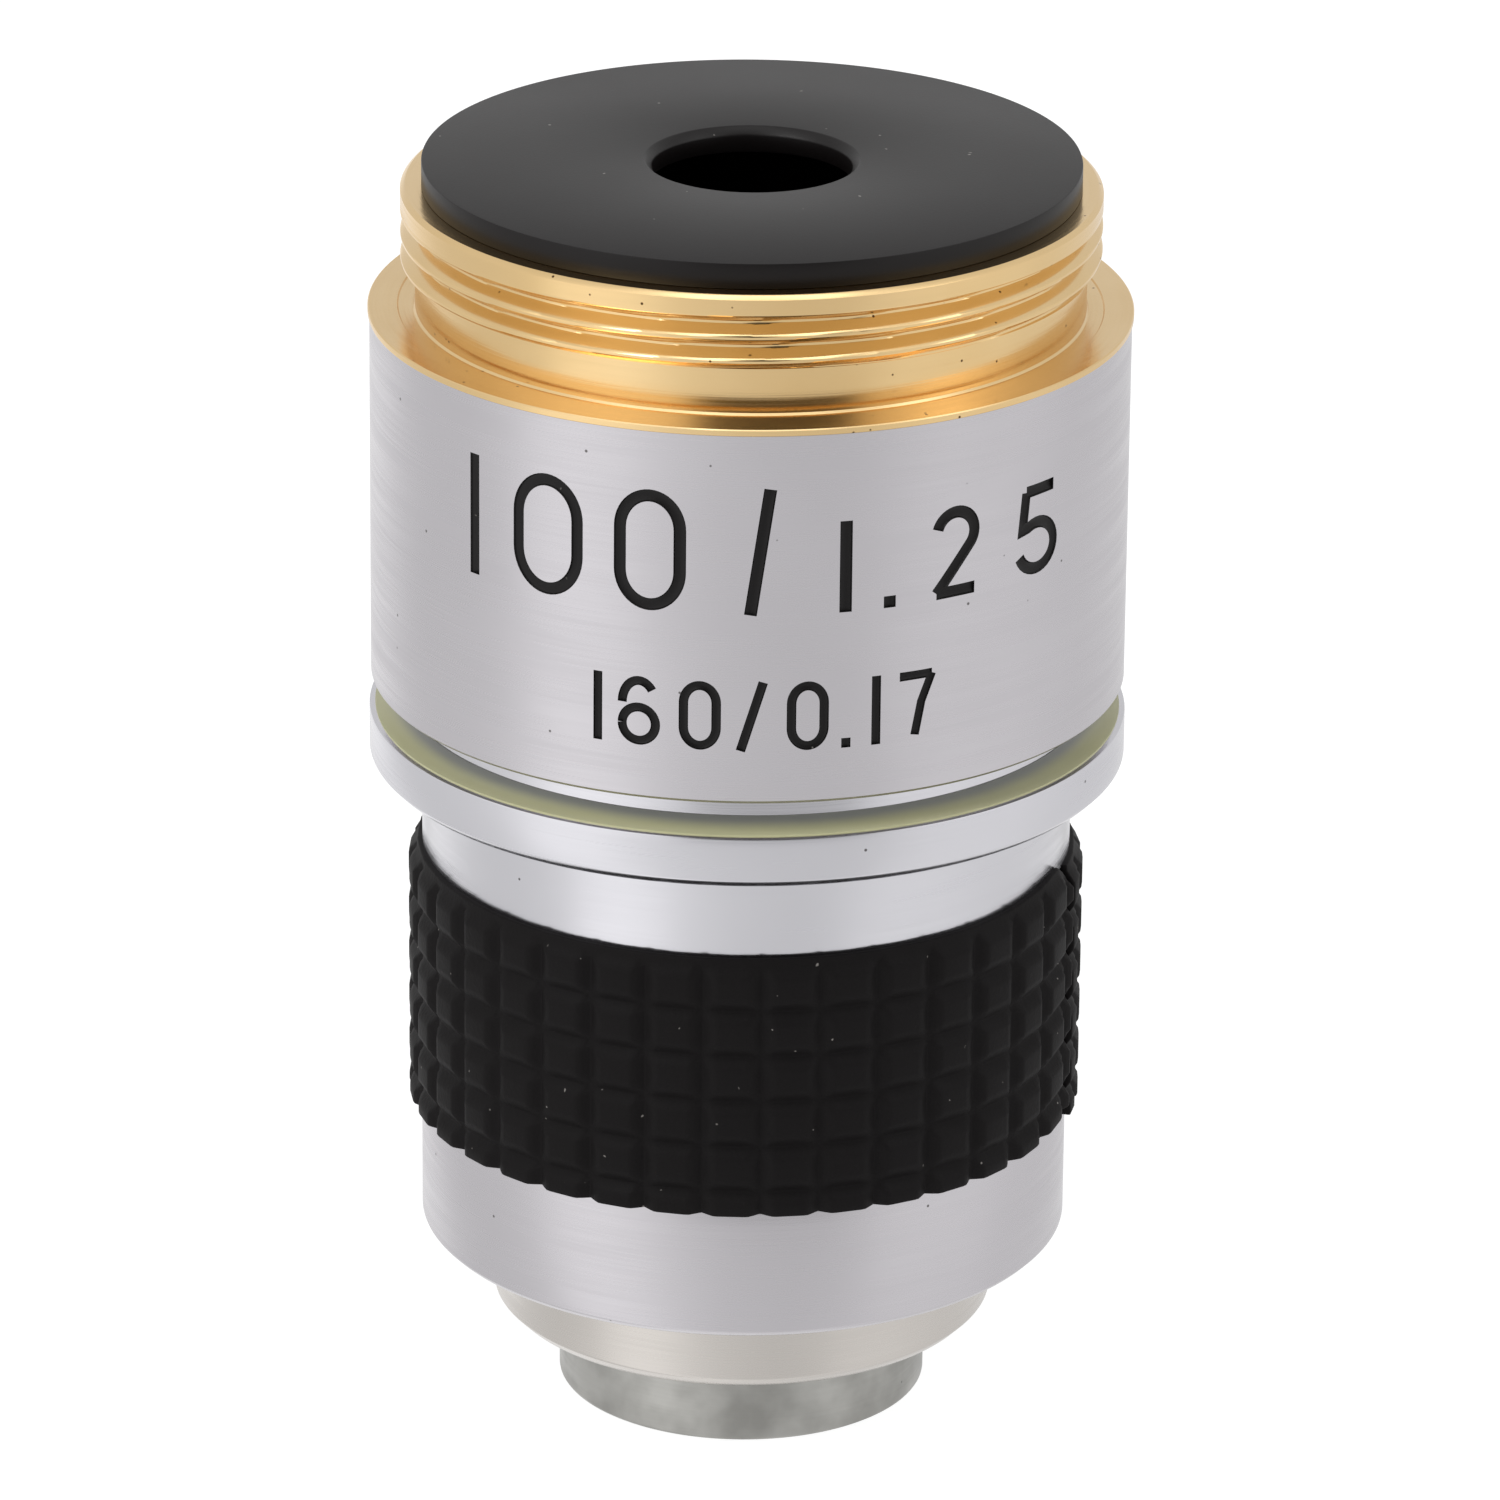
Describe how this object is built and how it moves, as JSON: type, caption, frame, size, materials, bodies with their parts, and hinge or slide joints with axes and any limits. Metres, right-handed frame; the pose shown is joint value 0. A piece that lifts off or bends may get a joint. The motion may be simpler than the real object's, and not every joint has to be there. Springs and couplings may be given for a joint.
{
  "type": "microscope objective",
  "caption": "Short spring-nosed immersion microscope objective: turned satin barrel with a brass screw thread, black end disc, chequered rubber grip and a flat tip.",
  "frame": {"origin": "middle of the tip's flat end, on the optical axis", "axes": "+Z along the optical axis from the tip to the screw thread; -Y towards the side with the engraved numbers; +X to the right seen from that side"},
  "size_m": [0.022, 0.022, 0.038],
  "materials": {
    "black_enamel": "matt black lacquer on brass",
    "bare_brass": "turned bare brass",
    "satin_plate": "satin chrome plate on turned brass",
    "cream_lacquer": "cream lacquer fill",
    "black_rubber": "moulded black rubber",
    "nickel_silver": "turned nickel silver",
    "plated_tip": "worn nickel plate",
    "spring_steel": "drawn steel wire",
    "screw_steel": "turned steel",
    "blackened_brass": "chemically blackened brass",
    "optical_glass": "polished and coated"
  },
  "bodies": {
    "housing": {"top_stop": "black_enamel", "mount_body": "bare_brass", "barrel_sleeve": "satin_plate", "colour_band": "cream_lacquer", "lower_body": "satin_plate", "grip_strip": "black_rubber", "spring_seat": "blackened_brass", "guide_screw": "screw_steel", "return_spring": "spring_steel"},
    "nose": {"nose_sleeve": "nickel_silver", "front_cap": "plated_tip", "front_lens": "optical_glass", "meniscus_cell": "blackened_brass", "meniscus_lens": "optical_glass", "front_spacer": "blackened_brass", "lower_doublet_cell": "blackened_brass", "lower_doublet_flint": "optical_glass", "lower_doublet_crown": "optical_glass", "middle_spacer": "blackened_brass", "upper_doublet_cell": "blackened_brass", "upper_doublet_flint": "optical_glass", "upper_doublet_crown": "optical_glass", "rear_stop": "blackened_brass", "cell_retainer": "blackened_brass"}
  },
  "joints": [
    {"name": "nose_slide", "type": "slide", "parent": "housing", "child": "nose", "axis": [0, 0, 1], "range_m": [0, 0.002], "stiffness_N_per_m": 500, "springref_m": -0.006, "deforming": ["return_spring"]}
  ]
}
